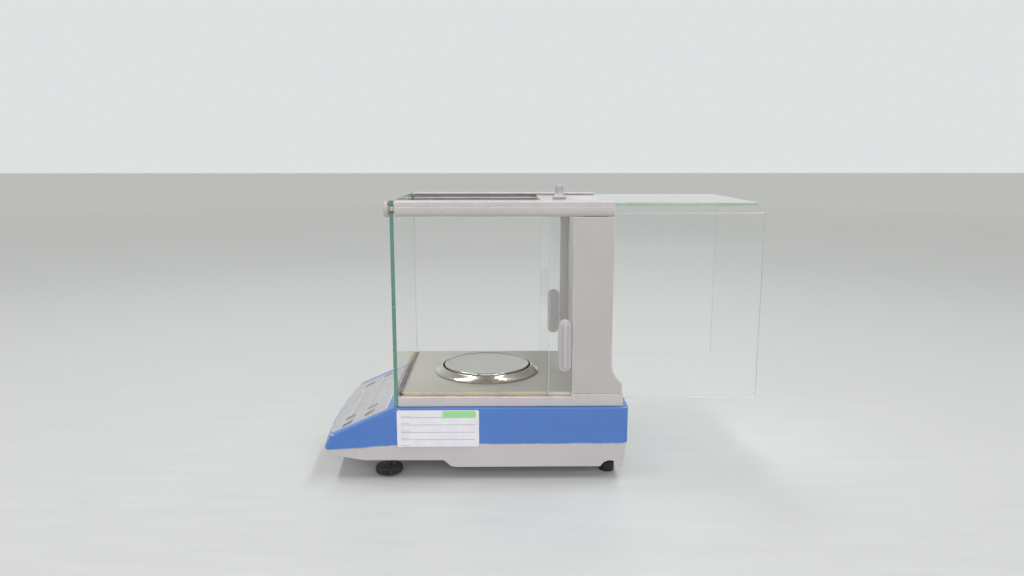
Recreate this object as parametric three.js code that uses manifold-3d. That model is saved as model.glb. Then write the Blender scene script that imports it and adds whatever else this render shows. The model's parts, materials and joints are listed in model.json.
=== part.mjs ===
// Laboratory balance with a glass draft shield: a blue wedge-shaped housing on a light grey base tray, a
// steel pan inside a draft ring, a fixed front glass, and three sliding glass doors that run in two top
// rails. The doors are slid back, so the chamber is open.
// Millimetres, +Z up from the bench, front towards -Y, right-hand side at +X.
import * as THREE from "three";
import { mergeVertices } from "three/addons/utils/BufferGeometryUtils.js";
import Module from "manifold-3d";

const wasm = await Module();
wasm.setup();

// ---------------------------------------------------------------- driving dimensions
const GAP = 0.3; // clearance between pieces that touch
const HALF_WIDTH = 102.2; // housing, to each side
const NOSE_Y = -171; // foremost point of the housing
const FRONT_CORNER_Y = -165.2; // front of the housing beside its rounded corners
const REAR_Y = 166;
const CORNERS = { front: 9, rear: 6 }; // corner roundings seen from above
const TOP_Z = 82.5; // flat top of the blue housing
const SEAM_Z = 41.5; // joint between the two housings, away from the nose
const WALL = 2.8; // moulded wall thickness
const BOTTOM_Z = 14.3; // underside of the tray at the rear
const FRONT_BOTTOM_Z = 22.4; // underside of the tray at the front

const PAN_Y = 10.7; // axis of the pan, of the hanger and of the opening below them
const TRAY_STEP = [-35, -22]; // ramp between the front and rear undersides

const SLOPE_Y = -86; // where the flat top meets the keypad slope
const SLOPE = THREE.MathUtils.degToRad(23.7);
const LEAN = 0.5; // the nose face leans back this much per millimetre of height
const LEAN_Z = 38; // and stands upright below this height
const FALL = Math.tan(SLOPE);
const LIP_Y = (NOSE_Y + LEAN * (TOP_Z - LEAN_Z - SLOPE_Y * FALL)) / (1 - LEAN * FALL); // slope meets nose
const CROWN = { top: 2, slope: 4 }; // roundings along the side edges of the flat top and of the slope
// The joint dips towards the nose; y and z.
const SEAM = [[NOSE_Y, 34.2], [-130, 37.2], [-100, 39.4], [-60, SEAM_Z], [REAR_Y, SEAM_Z]];

const PAN_R = 50.6;
const PAN_TOP_Z = 104.7;

const FRAME_HALF = 98.5; // shield base, to each side
const FRAME_FRONT_Y = -83.1; // close behind the front glass
const FLOOR_FRONT_Y = -80.4; // a narrow slot separates the floor plate from the front glass
const FRAME_REAR_Y = 160;
const FRAME_LIP_Z = 93; // outer lip beside the door grooves
const DECK_Z = 96.5; // chamber floor and rear deck
const FLOOR_HALF = 90.4;
const FLOOR_RIM = 1.6; // width of the ledge under the floor plate's turned-down rims
const LEDGE_Z = 92.2;
const SHEET = 1.2; // floor plate thickness
const WALL_Y = 115; // front face of the rear wall

const GLASS = 3; // door glass thickness
const DOOR_X = 91.8; // inner face of a side door
const GROOVE = [91.2, 95.4]; // side door grooves in the base and in the rails
const DOOR_FRONT_Y = 79; // front edge of the side doors, slid back
const DOOR_LENGTH = 226.6;
const DOOR_Z = [91, 291.5];
const TOP_DOOR_FRONT_Y = 72;
const TOP_DOOR_LENGTH = 227.8;
const TOP_DOOR_Z = 299;

const RAIL_Z = [288, 304.4];
const RAIL_X = [84.5, 99];
const RAIL_Y = [-82.4, 147];
const FRONT_GLASS = { y: [-87.6, -83.5], z: [82.8, 304.8], half: 98 };
const KNOB = { x: 94.6, z: 296.3, r: 9 }; // screws that hold the front glass
const PILLAR = { x: [95.6, 98.4], y: [104.5, 147.2] };

const HANDLE = { y: 96.6, z: 149.5, half: [7.4, 29] }; // side door handles
const PANEL_HALF = 89; // keypad panel, to each side
const WINDOW = { y: -133, half: [50, 13] };
const KEY_HALF = [12, 6.5];
const KEYS = [ // name, x and y
  ["key_print", 67, -144],
  ["key_tare", 67, -119],
  ["key_menu", -67, -144],
  ["key_power", -67, -119],
];

const FOOT = { x: 80, y: -97.6, wheelR: 15, stemR: 4 }; // levelling feet
const REAR_FOOT = { x: 73.5, y: 147, archR: 10.8, archZ: 10.5 }; // fixed feet in arched recesses
const SCREWS = [[62, -60, FRONT_BOTTOM_Z], [62, 118, BOTTOM_Z]]; // x, y and local underside
const COVER_PIVOT_X = 17;

const LEVER_Z = 50; // underside of the weighing cell's lever
const COIL_Y = 122;
const DC_INLET = { x: -62, z: 56, r: 5.6 };
const SERIAL = { x: 48, z: 56 };

const COLOURS = {
  blue: [0x3f6fb5, 0.45, 0.0],
  pale: [0xb9b6b6, 0.5, 0.0],
  paint: [0xa9a9a4, 0.4, 0.2],
  steel: [0xc9c9c7, 0.18, 1.0],
  aluminium: [0xc6c3c4, 0.35, 0.7],
  glass: [0xa9cfc2, 0.05, 0.0],
  smoke: [0x6f7a78, 0.1, 0.0],
  grip: [0xb4aeb0, 0.4, 0.0],
  amber: [0xc9bf94, 0.4, 0.0],
  rubber: [0x1b1c1c, 0.8, 0.0],
  board: [0x2c6b46, 0.6, 0.0],
  copper: [0xb5703a, 0.35, 1.0],
  iron: [0x6c6e70, 0.5, 0.9],
  paper: [0xe9e6ef, 0.7, 0.0],
  fluid: [0xc6d86a, 0.1, 0.0],
};

// ---------------------------------------------------------------- solids
function toSolid(geometry) {
  const bare = geometry.clone();
  bare.deleteAttribute("normal");
  bare.deleteAttribute("uv");
  const merged = mergeVertices(bare, 1e-4);
  const mesh = new wasm.Mesh({
    numProp: 3,
    vertProperties: new Float32Array(merged.attributes.position.array),
    triVerts: new Uint32Array(merged.index.array),
  });
  return new wasm.Manifold(mesh);
}

function toGeometry(solid) {
  const mesh = solid.getMesh();
  const geometry = new THREE.BufferGeometry();
  geometry.setAttribute("position", new THREE.BufferAttribute(mesh.vertProperties, 3));
  geometry.setIndex(new THREE.BufferAttribute(mesh.triVerts, 1));
  return geometry;
}

function box([x0, x1], [y0, y1], [z0, z1]) {
  const geometry = new THREE.BoxGeometry(x1 - x0, y1 - y0, z1 - z0);
  return geometry.translate((x0 + x1) / 2, (y0 + y1) / 2, (z0 + z1) / 2);
}

function outline(points) {
  return new THREE.Shape(points.map(([a, b]) => new THREE.Vector2(a, b)));
}

function roundedRect(halfA, halfB, r) {
  const shape = new THREE.Shape();
  shape.absarc(halfA - r, halfB - r, r, 0, Math.PI / 2);
  shape.absarc(-halfA + r, halfB - r, r, Math.PI / 2, Math.PI);
  shape.absarc(-halfA + r, -halfB + r, r, Math.PI, Math.PI * 1.5);
  shape.absarc(halfA - r, -halfB + r, r, Math.PI * 1.5, Math.PI * 2);
  shape.closePath();
  return shape;
}

function extrude(shape, depth, curveSegments) {
  return new THREE.ExtrudeGeometry(shape, { depth, bevelEnabled: false, curveSegments });
}

// An outline in (x, y) extruded upwards from z0 to z1.
function prismZ(shape, [z0, z1], segments = 6) {
  return extrude(shape, z1 - z0, segments).translate(0, 0, z0);
}

// An outline in (y, z) extruded along X.
function prismX(shape, [x0, x1], segments = 6) {
  const turn = new THREE.Matrix4().makeBasis(
    new THREE.Vector3(0, 1, 0), new THREE.Vector3(0, 0, 1), new THREE.Vector3(1, 0, 0));
  return extrude(shape, x1 - x0, segments).applyMatrix4(turn).translate(x0, 0, 0);
}

// An outline in (x, z) extruded along Y.
function prismY(shape, [y0, y1], segments = 6) {
  return extrude(shape, y1 - y0, segments).rotateX(Math.PI / 2).translate(0, y1, 0);
}

// A turned piece about Z, from (radius, height) points that start and end on the axis or close.
function turned(points, segments = 32) {
  const profile = points.map(([r, z]) => new THREE.Vector2(r, z));
  return new THREE.LatheGeometry(profile, segments).rotateX(Math.PI / 2);
}

function cylinder(r, [z0, z1], segments = 24) {
  return turned([[0, z0], [r, z0], [r, z1], [0, z1]], segments);
}

// The same pieces lying along Y, with heights read as Y.
function alongY(geometry) {
  return geometry.rotateX(-Math.PI / 2);
}

function cut(base, ...tools) {
  return toGeometry(tools.reduce((solid, tool) => solid.subtract(toSolid(tool)), toSolid(base)));
}

function join(base, ...more) {
  return toGeometry(more.reduce((solid, piece) => solid.add(toSolid(piece)), toSolid(base)));
}

function common(base, ...more) {
  return toGeometry(more.reduce((solid, piece) => solid.intersect(toSolid(piece)), toSolid(base)));
}

// ---------------------------------------------------------------- scene graph
const balance = new THREE.Group();
const doorRearY = DOOR_FRONT_Y + DOOR_LENGTH;
balance.position.y = -(NOSE_Y + doorRearY) / 2; // origin under the middle of the footprint

const keypad = new THREE.Group(); // local y runs up the slope, local z stands out of it
keypad.position.set(0, SLOPE_Y, TOP_Z);
keypad.rotation.x = SLOPE;
balance.add(keypad);

function piece(name, geometry, colour, parent = balance, position = [0, 0, 0]) {
  const [hex, roughness, metalness] = COLOURS[colour];
  const material = new THREE.MeshStandardMaterial({ color: hex, roughness, metalness });
  const mesh = new THREE.Mesh(geometry, material);
  mesh.name = name;
  mesh.position.set(...position);
  parent.add(mesh);
  return mesh;
}

const SIDES = [["right", 1], ["left", -1]];
const BEYOND = 300; // reach of a cutting outline that runs past the whole object
const TALL = 120; // height of a cutting prism that clears the housing
const ACROSS = [-120, 120];
const ALONG = [-BEYOND, BEYOND];

function mirrored(geometry, side) {
  if (side > 0) return geometry;
  const flipped = geometry.index ? geometry.toNonIndexed() : geometry.clone();
  flipped.scale(-1, 1, 1);
  const position = flipped.attributes.position;
  for (let i = 0; i < position.count; i += 3) {
    const b = new THREE.Vector3().fromBufferAttribute(position, i + 1);
    const c = new THREE.Vector3().fromBufferAttribute(position, i + 2);
    position.setXYZ(i + 1, c.x, c.y, c.z);
    position.setXYZ(i + 2, b.x, b.y, b.z);
  }
  return toGeometry(toSolid(flipped));
}

// Height of the keypad slope above a point y.
function slopeZ(y) {
  return TOP_Z - (SLOPE_Y - y) * FALL;
}

// Distance down the slope, as keypad-local y, of a point at world y.
function slopeV(y) {
  return (y - SLOPE_Y) / Math.cos(SLOPE);
}

function onSlope(geometry) {
  return geometry.rotateX(SLOPE).translate(0, SLOPE_Y, TOP_Z);
}

// ---------------------------------------------------------------- housings
// The footprint seen from above, drawn in by inset on every side.
function footprint(inset, rear = REAR_Y - inset) {
  const w = HALF_WIDTH - inset;
  const corner = FRONT_CORNER_Y + inset;
  const bulge = 2 * (NOSE_Y + inset) - corner; // control point that puts the arc's middle on the nose
  const shape = new THREE.Shape();
  shape.moveTo(w, rear - CORNERS.rear);
  shape.quadraticCurveTo(w, rear, w - CORNERS.rear, rear);
  shape.lineTo(-w + CORNERS.rear, rear);
  shape.quadraticCurveTo(-w, rear, -w, rear - CORNERS.rear);
  shape.lineTo(-w, corner + CORNERS.front);
  shape.quadraticCurveTo(-w, corner + 1, -w + CORNERS.front, corner);
  shape.quadraticCurveTo(0, bulge, w - CORNERS.front, corner);
  shape.quadraticCurveTo(w, corner + 1, w, corner + CORNERS.front);
  shape.closePath();
  return shape;
}

// The same footprint as a prism whose walls lean back above LEAN_Z.
function leaning(inset) {
  const shear = new THREE.Matrix4().set(1, 0, 0, 0, 0, 1, LEAN, -LEAN * LEAN_Z, 0, 0, 1, 0, 0, 0, 0, 1);
  return prismZ(footprint(inset, BEYOND), [0, TALL]).applyMatrix4(shear);
}

// Flat-topped outline in (x, z) with its two top edges rounded.
function crown(top, r) {
  const w = HALF_WIDTH;
  const shape = new THREE.Shape();
  shape.moveTo(-w, -BEYOND);
  shape.lineTo(w, -BEYOND);
  shape.lineTo(w, top - r);
  shape.quadraticCurveTo(w, top, w - r, top);
  shape.lineTo(-w + r, top);
  shape.quadraticCurveTo(-w, top, -w, top - r);
  shape.closePath();
  return shape;
}

function upperHousing() {
  const profile = outline([...SEAM, [REAR_Y, TOP_Z], [SLOPE_Y, TOP_Z], [NOSE_Y, slopeZ(NOSE_Y)]]);
  const outer = common(prismX(profile, ACROSS), prismZ(footprint(0), [0, TALL]), leaning(0),
    prismY(crown(TOP_Z, CROWN.top), ALONG), onSlope(prismY(crown(0, CROWN.slope), ALONG)));
  const under = slopeZ(NOSE_Y) - WALL / Math.cos(SLOPE);
  const inside = outline([
    [NOSE_Y, 20], [REAR_Y - WALL, 20], [REAR_Y - WALL, TOP_Z - WALL], [SLOPE_Y + 1, TOP_Z - WALL],
    [NOSE_Y, under],
  ]);
  const hollow = common(prismX(inside, ACROSS), prismZ(footprint(WALL), [0, TALL]), leaning(WALL + 0.5));
  const keyHoles = KEYS.map(([, x, y]) => onSlope(cylinder(2.8, [-8, 2], 12).translate(x, slopeV(y), 0)));
  const windowV = slopeV(WINDOW.y);
  const behindWindow = box([-49, 49], [windowV - 12, windowV + 12], [-8, 2]);
  const rear = [REAR_Y - 15, REAR_Y + 5];
  const panelRecess = onSlope(prismZ(panelOutline(-GAP), [-1.5, 12]));
  const hangerHole = cylinder(9, [70, 90]).translate(0, PAN_Y, 0);
  const inletHole = alongY(cylinder(DC_INLET.r + 0.5, rear)).translate(DC_INLET.x, 0, DC_INLET.z);
  const serialHole = box([SERIAL.x - 13.5, SERIAL.x + 13.5], rear, [SERIAL.z - 6.5, SERIAL.z + 6.5]);
  const openings = [onSlope(behindWindow), ...keyHoles, hangerHole, inletHole, serialHole];
  return cut(outer, hollow, panelRecess, ...openings);
}

function lowerHousing() {
  const seam = SEAM.map(([y, z]) => [y, z - GAP]).reverse();
  const [rampFront, rampRear] = TRAY_STEP;
  const keel = [
    [-168, 32.4], [-160, 31.6], [-155, 30.8], [-147.5, 28.1], [-141, 26.4], [-134.6, 25.2],
    [-121.6, FRONT_BOTTOM_Z + 0.4], [rampFront, FRONT_BOTTOM_Z], [rampRear - 5, BOTTOM_Z + 1],
    [rampRear, BOTTOM_Z], [REAR_Y - 4.6, BOTTOM_Z], [REAR_Y - 1.2, SEAM_Z - GAP],
  ];
  const profile = outline([...seam.slice(1), ...keel]);
  const taper = outline([[-99.5, 0], [99.5, 0], [102.8, 60], [-102.8, 60]]); // sides draw in downwards
  const outer = common(prismX(profile, ACROSS), prismZ(footprint(0.5), [0, 60]), prismY(taper, ALONG));
  const [frontFloor, rearFloor] = [FRONT_BOTTOM_Z + WALL, BOTTOM_Z + WALL];
  const inside = outline([
    [-158, 60], [-158, 34], [-141, 29.4], [-121.6, frontFloor], [rampFront + 1, frontFloor],
    [rampRear - 3, rearFloor], [REAR_Y - 8, rearFloor], [REAR_Y - 8, 60],
  ]);
  const hollow = common(prismX(inside, [-95.5, 95.5]), prismZ(footprint(5), [0, 60]));
  const keepers = SIDES.flatMap(([, s]) => [
    cylinder(9, [0, 34]).translate(s * FOOT.x, FOOT.y, 0),
    box([s * 79 - 20, s * 79 + 20], [REAR_FOOT.y - 14, REAR_Y - 4], [0, 26]),
    ...SCREWS.map(([x, y]) => cylinder(7, [0, 31]).translate(s * x, y, 0)),
  ]);
  const cavity = cut(hollow, ...keepers);
  const bores = SIDES.flatMap(([, s]) => [
    cylinder(FOOT.stemR + 0.5, [0, 60]).translate(s * FOOT.x, FOOT.y, 0),
    archCutter(s),
    ...SCREWS.flatMap(([x, y, z]) => [
      cylinder(4.2, [0, z + 6], 16).translate(s * x, y, 0),
      cylinder(2, [0, 60], 12).translate(s * x, y, 0),
    ]),
  ]);
  return cut(outer, cavity, ...bores, cylinder(8, [0, 30]).translate(0, PAN_Y, 0));
}

// Round-topped recess in the tray's edge where a rear foot stands.
function archCutter(side) {
  const shape = new THREE.Shape();
  shape.absarc(REAR_FOOT.y, REAR_FOOT.archZ, REAR_FOOT.archR, 0, Math.PI * 2);
  const [a, b] = [side * (REAR_FOOT.x - 11.5), side * 110];
  return prismX(shape, [Math.min(a, b), Math.max(a, b)], 20);
}

// ---------------------------------------------------------------- keypad and display
// Front panel outline in keypad coordinates; its front edge follows the nose.
function panelOutline(inset) {
  const w = PANEL_HALF - inset;
  const rear = slopeV(-98) - inset;
  const nose = slopeV(LIP_Y + 1.2) + inset;
  const corner = nose + 5.4;
  const shape = new THREE.Shape();
  shape.moveTo(w, rear);
  shape.lineTo(-w, rear);
  shape.lineTo(-w, corner + 7);
  shape.quadraticCurveTo(-w, corner + 0.7, -w + 7, corner);
  shape.quadraticCurveTo(0, 2 * nose - corner, w - 7, corner);
  shape.quadraticCurveTo(w, corner + 0.7, w, corner + 7);
  shape.closePath();
  return shape;
}

function keyGeometry() {
  const cap = prismZ(roundedRect(...KEY_HALF, 2), [-0.9, 0.25], 4);
  return join(cap, cylinder(2.2, [-7, -0.5], 12));
}

function addKeypad() {
  const holes = KEYS.map(([, x, y]) => prismZ(
    roundedRect(KEY_HALF[0] + GAP, KEY_HALF[1] + GAP, 2.3), [-3, 3], 4).translate(x, slopeV(y), 0));
  const [halfX, halfV] = WINDOW.half;
  const opening = prismZ(roundedRect(halfX + GAP, halfV + GAP, 1.8), [-3, 3], 4);
  const middle = [0, slopeV(WINDOW.y), 0];
  piece("keypad_panel", cut(prismZ(panelOutline(0), [-1.2, 0]), opening.translate(...middle), ...holes),
    "pale", keypad);
  piece("display_window", prismZ(roundedRect(halfX, halfV, 1.5), [-1.2, 0], 4), "smoke", keypad, middle);
  piece("lcd_module", box([-48, 48], [-11, 11], [-6, -1.7]), "glass", keypad, middle);
  piece("display_board", box([-82, 82], [slopeV(-150), slopeV(-112)], [-9.2, -7.7]), "board", keypad);
  KEYS.forEach(([name, x, y]) => piece(name, keyGeometry(), "pale", keypad, [x, slopeV(y), 0]));
}

// ---------------------------------------------------------------- weighing chamber floor
function shieldBase() {
  const body = box([-FRAME_HALF, FRAME_HALF], [FRAME_FRONT_Y, FRAME_REAR_Y], [TOP_Z + GAP, DECK_Z]);
  const bedY = [FRAME_FRONT_Y - 5, WALL_Y - 1];
  const tools = SIDES.flatMap(([, s]) => {
    const band = (a, b) => [Math.min(s * a, s * b), Math.max(s * a, s * b)];
    return [
      box(band(...GROOVE), ALONG, [DOOR_Z[0] - 0.4, TALL]),
      box(band(FLOOR_HALF - FLOOR_RIM, GROOVE[0] + 0.1), bedY, [LEDGE_Z, TALL]),
      box(band(GROOVE[1] - 0.1, TALL), [-BEYOND, PILLAR.y[0] - 0.5], [FRAME_LIP_Z, TALL]),
    ];
  });
  const bed = box([-FLOOR_HALF, FLOOR_HALF], bedY, [DECK_Z - 1.5, TALL]);
  const sill = box([-FLOOR_HALF, FLOOR_HALF], [-BEYOND, FLOOR_FRONT_Y + FLOOR_RIM + 0.2], [LEDGE_Z, TALL]);
  return cut(body, ...tools, bed, sill, cylinder(10, [80, TALL]).translate(0, PAN_Y, 0));
}

// Folded steel plate with its rims turned down over the base.
function floorPlate() {
  const [y0, y1] = [FLOOR_FRONT_Y, WALL_Y - 1.5];
  const inner = FLOOR_HALF - SHEET;
  const tray = box([-FLOOR_HALF, FLOOR_HALF], [y0, y1], [LEDGE_Z + GAP, DECK_Z]);
  const under = box([-inner, inner], [y0 + SHEET, BEYOND], [80, DECK_Z - SHEET]);
  return cut(tray, under, cylinder(12, [80, TALL]).translate(0, PAN_Y, 0));
}

function addPan() {
  const ring = [
    [52, 96.8], [61.6, 96.8], [61.6, 97.6], [60.4, 98.3], [54.4, 103.5], [53, 104], [52, 103.4],
  ];
  piece("draft_ring", turned([...ring, ring[0]], 56), "steel", balance, [0, PAN_Y, 0]);
  const pan = [
    [0, PAN_TOP_Z - 0.9], [PAN_R - 1.1, PAN_TOP_Z - 0.9], [PAN_R - 1.1, 98.8], [PAN_R - 0.2, 98.8],
    [PAN_R, 104.6], [PAN_R - 0.5, 105.3], [PAN_R - 1.6, 105.3], [PAN_R - 2.8, PAN_TOP_Z], [0, PAN_TOP_Z],
  ];
  piece("weighing_pan", turned(pan, 56), "steel", balance, [0, PAN_Y, 0]);
  const support = [
    [0, 99.3], [4.4, 99.3], [4.4, 90], [8, 90], [8, 101], [32, 101.6], [32, PAN_TOP_Z - 1.2],
    [0, PAN_TOP_Z - 1.2],
  ];
  piece("pan_support", turned(support, 24), "aluminium", balance, [0, PAN_Y, 0]);
}

// ---------------------------------------------------------------- draft shield
function railSection() {
  const [inner, outer] = RAIL_X;
  const [low, high] = RAIL_Z;
  const groove = TOP_DOOR_Z - 0.4;
  const line = high - 5.5; // shallow line along the outer face
  const shape = new THREE.Shape();
  shape.moveTo(inner, high);
  shape.lineTo(outer - 2.2, high);
  shape.quadraticCurveTo(outer, high, outer, high - 2.2);
  shape.lineTo(outer, line + 0.6);
  shape.lineTo(outer - 0.6, line + 0.2);
  shape.lineTo(outer - 0.6, line - 0.2);
  shape.lineTo(outer, line - 0.6);
  shape.lineTo(outer, low + 7);
  shape.quadraticCurveTo(outer, low, GROOVE[1] + 0.4, low);
  shape.lineTo(GROOVE[1], low);
  shape.lineTo(GROOVE[1], DOOR_Z[1] + 0.4);
  shape.lineTo(GROOVE[0], DOOR_Z[1] + 0.4);
  shape.lineTo(GROOVE[0], low);
  shape.lineTo(inner, low);
  shape.lineTo(inner, low + 4.6);
  shape.lineTo(inner + 5.5, low + 4.6);
  shape.lineTo(inner + 5.5, groove - 1.4);
  shape.lineTo(inner, groove - 1.4);
  shape.lineTo(inner, groove);
  shape.lineTo(inner + 6.9, groove);
  shape.lineTo(inner + 6.9, TOP_DOOR_Z + GLASS + 0.4);
  shape.lineTo(inner, TOP_DOOR_Z + GLASS + 0.4);
  shape.closePath();
  return shape;
}

function railGeometry() {
  const bore = alongY(cylinder(2.3, [RAIL_Y[0] - 1, RAIL_Y[0] + 12], 12));
  return cut(prismY(railSection(), RAIL_Y, 4), bore.translate(KNOB.x, 0, KNOB.z));
}

// A plate that flares out towards the back at its foot.
function pillarGeometry() {
  const [front, rear] = PILLAR.y;
  const shape = new THREE.Shape();
  shape.moveTo(front, DECK_Z + GAP);
  shape.lineTo(159, DECK_Z + GAP);
  shape.lineTo(159, 108);
  shape.quadraticCurveTo(rear, 116, rear, 130);
  shape.lineTo(rear, RAIL_Z[0] - GAP);
  shape.lineTo(front, RAIL_Z[0] - GAP);
  shape.closePath();
  return prismX(shape, PILLAR.x, 6);
}

// Rear panel with its side edges folded back.
function rearWall() {
  const z = [DECK_Z + GAP, RAIL_Z[0] - GAP];
  const sheet = box([-FLOOR_HALF, FLOOR_HALF], [WALL_Y, WALL_Y + 2.5], z);
  const folds = SIDES.map(([, s]) => box([s * 89.3 - 1.1, s * 89.3 + 1.1], [WALL_Y, WALL_Y + 26], z));
  return join(sheet, ...folds);
}

// Fixed pane with an open notch in each side edge for the knob bushes.
function frontGlass() {
  const pane = box([-FRONT_GLASS.half, FRONT_GLASS.half], FRONT_GLASS.y, FRONT_GLASS.z);
  const notches = SIDES.flatMap(([, s]) => {
    const reach = [s * KNOB.x, s * (KNOB.x + 10)].sort((a, b) => a - b);
    return [
      alongY(cylinder(3.9, [-100, -70], 20)).translate(s * KNOB.x, 0, KNOB.z),
      box(reach, [-100, -70], [KNOB.z - 3.9, KNOB.z + 3.9]),
    ];
  });
  return cut(pane, ...notches);
}

function knobGeometry() {
  const [back, face] = [FRONT_GLASS.y[0] - GAP, FRONT_GLASS.y[0] - 6];
  const r = KNOB.r;
  return alongY(turned([
    [0, face], [r - 2.2, face], [r - 0.6, face + 0.8], [r, face + 2], [r, back - 1.6], [r - 0.7, back - 1],
    [4.6, back - 1], [4.6, back], [1.9, back], [1.9, RAIL_Y[0] + 9], [0, RAIL_Y[0] + 9],
  ], 28));
}

// Soft flanged bush between knob screw, glass and rail.
function bushGeometry() {
  const [outer, inner] = FRONT_GLASS.y;
  const section = [
    [2.3, outer + GAP], [3.6, outer + GAP], [3.6, inner + GAP], [4.4, inner + GAP],
    [4.4, RAIL_Y[0] - GAP], [2.3, RAIL_Y[0] - GAP],
  ];
  return alongY(turned([...section, section[0]], 20));
}

// Oblong grip with a raised finger ridge, standing out along +X from the door.
function sideHandle() {
  const base = prismZ(roundedRect(...HANDLE.half, HANDLE.half[0] - 0.1), [0, 3], 8);
  const ridge = prismZ(roundedRect(2.6, 24, 2.5), [2.5, 6.7], 6);
  const turn = new THREE.Matrix4().makeBasis(
    new THREE.Vector3(0, 1, 0), new THREE.Vector3(0, 0, 1), new THREE.Vector3(1, 0, 0));
  return join(base, ridge).applyMatrix4(turn);
}

function addShield() {
  piece("front_glass", frontGlass(), "glass");
  piece("rear_wall", rearWall(), "pale");
  piece("cross_bar", box([-84.2, 84.2], [WALL_Y, 146], [288.2, 298.2]), "aluminium");
  const doorX = [DOOR_X, DOOR_X + GLASS];
  const doorY = [DOOR_FRONT_Y, doorRearY];
  const handleAt = [DOOR_X + GLASS + GAP, HANDLE.y, HANDLE.z];
  for (const [name, side] of SIDES) {
    piece(`${name}_rail`, mirrored(railGeometry(), side), "aluminium");
    piece(`${name}_pillar`, mirrored(pillarGeometry(), side), "pale");
    piece(`${name}_knob`, knobGeometry(), "grip", balance, [side * KNOB.x, 0, KNOB.z]);
    piece(`${name}_glass_bush`, bushGeometry(), "amber", balance, [side * KNOB.x, 0, KNOB.z]);
    piece(`${name}_door_glass`, mirrored(box(doorX, doorY, DOOR_Z), side), "glass");
    const handle = sideHandle().translate(...handleAt);
    piece(`${name}_door_handle`, mirrored(handle, side), "grip");
  }
  const topZ = [TOP_DOOR_Z, TOP_DOOR_Z + GLASS];
  const topY = [TOP_DOOR_FRONT_Y, TOP_DOOR_FRONT_Y + TOP_DOOR_LENGTH];
  piece("top_door_glass", box([-90.9, 90.9], topY, topZ), "glass");
  const base = topZ[1] + GAP;
  const knob = [
    [0, base], [8, base], [8, base + 1.8], [6.2, base + 2.8], [5, base + 5], [5.3, base + 13.6],
    [4.2, base + 15.2], [0, base + 15.5],
  ];
  piece("top_door_handle", turned(knob, 24), "grip", balance, [0, 96, 0]);
}

// ---------------------------------------------------------------- feet and underside
function addUnderside() {
  const { wheelR, stemR } = FOOT;
  const screw = [
    [0, 2.2], [wheelR - 1, 2.2], [wheelR, 3], [wheelR, 8.7], [wheelR - 1, 9.5], [stemR, 9.5], [stemR, 32],
    [0, 32],
  ];
  const rearFoot = [[0, 0], [7.6, 0], [8.5, 1], [8.5, 11.5], [5, 13], [5, 19.4], [0, 19.4]];
  for (const [name, s] of SIDES) {
    const at = [s * FOOT.x, FOOT.y, 0];
    piece(`${name}_foot_screw`, turned(screw, 32), "rubber", balance, at);
    piece(`${name}_foot_pad`, cylinder(9.5, [0, 1.9]), "rubber", balance, at);
    piece(`${name}_rear_foot`, turned(rearFoot, 20), "rubber", balance, [s * REAR_FOOT.x, REAR_FOOT.y, 0]);
    SCREWS.forEach(([x, y, z], row) => {
      const head = [
        [0, z + 2.4], [3.5, z + 2.4], [3.5, z + 5.5], [1.5, z + 5.5], [1.5, z + 16], [0, z + 16],
      ];
      piece(`${name}_housing_screw_${row + 1}`, turned(head, 12), "iron", balance, [s * x, y, 0]);
    });
  }
  const slab = prismZ(roundedRect(18, 11, 10.8), [BOTTOM_Z - 1.8, BOTTOM_Z - GAP], 8);
  const cover = slab.translate(COVER_PIVOT_X - 11, PAN_Y, 0);
  const pivot = cylinder(2.4, [0, 30], 16).translate(COVER_PIVOT_X, PAN_Y, 0);
  piece("hook_cover", cut(cover, pivot), "pale");
  const pin = [[0, 11.6], [4, 11.6], [4, 12.2], [2, 12.2], [2, 14.2], [0, 14.2]];
  piece("hook_cover_pin", turned(pin, 16), "steel", balance, [COVER_PIVOT_X, PAN_Y, 0]);
}

// ---------------------------------------------------------------- weighing cell and electronics
function addCell() {
  const floor = BOTTOM_Z + WALL + GAP;
  const bed = box([-25, 25], [-16, 146], [floor, 24]);
  const block = box([-24, 24], [30, 96], [23, 70]);
  const slot = box([-8, 8], [20, 110], [42, 80]);
  const eye = cylinder(6, [0, 40]).translate(0, PAN_Y, 0);
  piece("cell_frame", cut(join(bed, block), slot, eye), "aluminium");

  const hangerPin = turned([[0, 60], [4, 60], [4, 96], [2.5, 99], [0, 99]], 16).translate(0, PAN_Y, 0);
  piece("hanger", join(box([-12, 12], [PAN_Y - 6, PAN_Y + 6], [27, 74]), hangerPin), "aluminium");
  for (const [name, z] of [["upper_guide", 67], ["lower_guide", 30]]) {
    const plate = box([-20, 20], [PAN_Y + 6.4, 29.7], [z, z + 1.2]);
    piece(name, cut(plate, box([-9, 9], [PAN_Y + 8, 28], [z - 2, z + 3])), "aluminium");
  }
  const beam = box([-5, 5], [PAN_Y + 7.5, COIL_Y + 19], [LEVER_Z, LEVER_Z + 8]);
  piece("lever", beam, "aluminium");
  const coil = [[9.5, 37], [14.2, 37], [14.2, LEVER_Z - GAP], [9.5, LEVER_Z - GAP]];
  piece("coil", turned([...coil, coil[0]], 24), "copper", balance, [0, COIL_Y, 0]);
  const pot = cylinder(20, [24.3, 46], 28);
  const gapRing = [[7.5, 33], [16.2, 33], [16.2, 60], [7.5, 60]];
  piece("magnet_pot", cut(pot, turned([...gapRing, gapRing[0]], 28)), "iron", balance, [0, COIL_Y, 0]);
  piece("position_sensor", box([-7, 7], [142.4, 146], [24.3, 58]), "board");
}

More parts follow.
